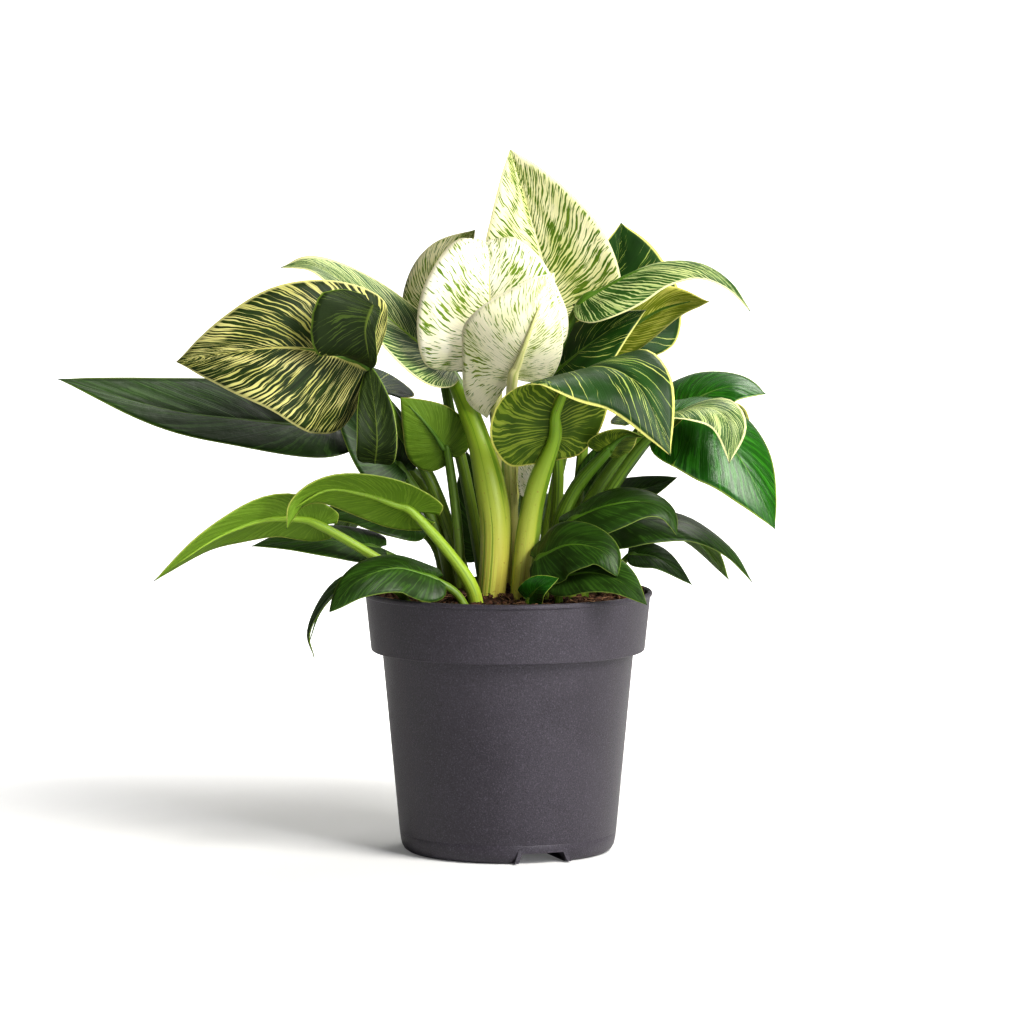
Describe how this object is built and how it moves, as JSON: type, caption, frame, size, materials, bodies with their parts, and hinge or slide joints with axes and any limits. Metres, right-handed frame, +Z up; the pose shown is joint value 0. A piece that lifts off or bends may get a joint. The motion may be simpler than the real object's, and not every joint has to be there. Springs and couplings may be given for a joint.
{
  "type": "philodendron birkin in a nursery pot",
  "caption": "Variegated aroid house plant with cream striped heart-shaped leaves on stems, rooted in soil in a round dark plastic nursery pot",
  "frame": {"origin": "centre of the flat underside of the pot", "axes": "Z up along the pot's axis, Y away from the viewer of the pictured side, X to that viewer's right"},
  "size_m": [0.3012, 0.1824, 0.2951],
  "materials": {
    "leaf_cream": "satin cream blade with green dashes",
    "leaf_striped": "satin green blade with cream stripes",
    "leaf_lined": "satin dark green blade with fine pale lines",
    "leaf_dark": "semi gloss dark green blade",
    "leaf_glossy": "glossy plain green blade",
    "leaf_light": "matt light green underside",
    "pot": "fine grained dark grey plastic",
    "soil": "rough crumbly peat"
  },
  "bodies": {
    "root": {"leaf_top_furled": "leaf_cream", "leaf_cream_back": "leaf_cream", "leaf_cream_front": "leaf_cream", "leaf_left_striped": "leaf_striped", "leaf_left_far_dark": "leaf_dark", "leaf_left_upper": "leaf_lined", "leaf_back_left_striped": "leaf_striped", "leaf_back_right_upper": "leaf_lined", "leaf_right_top_long": "leaf_lined", "leaf_right_yellow_under": "leaf_striped", "leaf_right_dark_behind": "leaf_lined", "leaf_front_right_dark": "leaf_lined", "leaf_under_right_mid": "leaf_light", "leaf_right_glossy_back": "leaf_glossy", "leaf_right_arched_variegated": "leaf_striped", "leaf_right_big_glossy": "leaf_glossy", "leaf_folded_dark_right": "leaf_dark", "leaf_centre_small_white": "leaf_cream", "leaf_round_green_under": "leaf_light", "leaf_dark_mid_left": "leaf_dark", "leaf_low_left_long": "leaf_light", "leaf_low_left_curled": "leaf_light", "leaf_low_left_dark_a": "leaf_dark", "leaf_low_left_dark_b": "leaf_dark", "leaf_low_front_left": "leaf_glossy", "leaf_thin_hanging": "leaf_dark", "leaf_low_right_a": "leaf_dark", "leaf_low_right_b": "leaf_glossy", "leaf_low_right_c": "leaf_glossy", "leaf_low_small_front": "leaf_glossy", "leaf_low_right_long": "leaf_dark", "leaf_low_right_d": "leaf_dark", "leaf_low_right_g": "leaf_dark", "leaf_back_tall": "leaf_lined", "leaf_back_left_wide": "leaf_lined", "leaf_back_right_wide": "leaf_lined", "leaf_back_low_left": "leaf_dark", "leaf_back_low_mid": "leaf_dark", "leaf_back_low_right": "leaf_dark", "pot": "pot", "soil": "soil", "leaf_inner_dark_left": "leaf_dark", "leaf_inner_dark_right": "leaf_dark"}
  },
  "joints": []
}
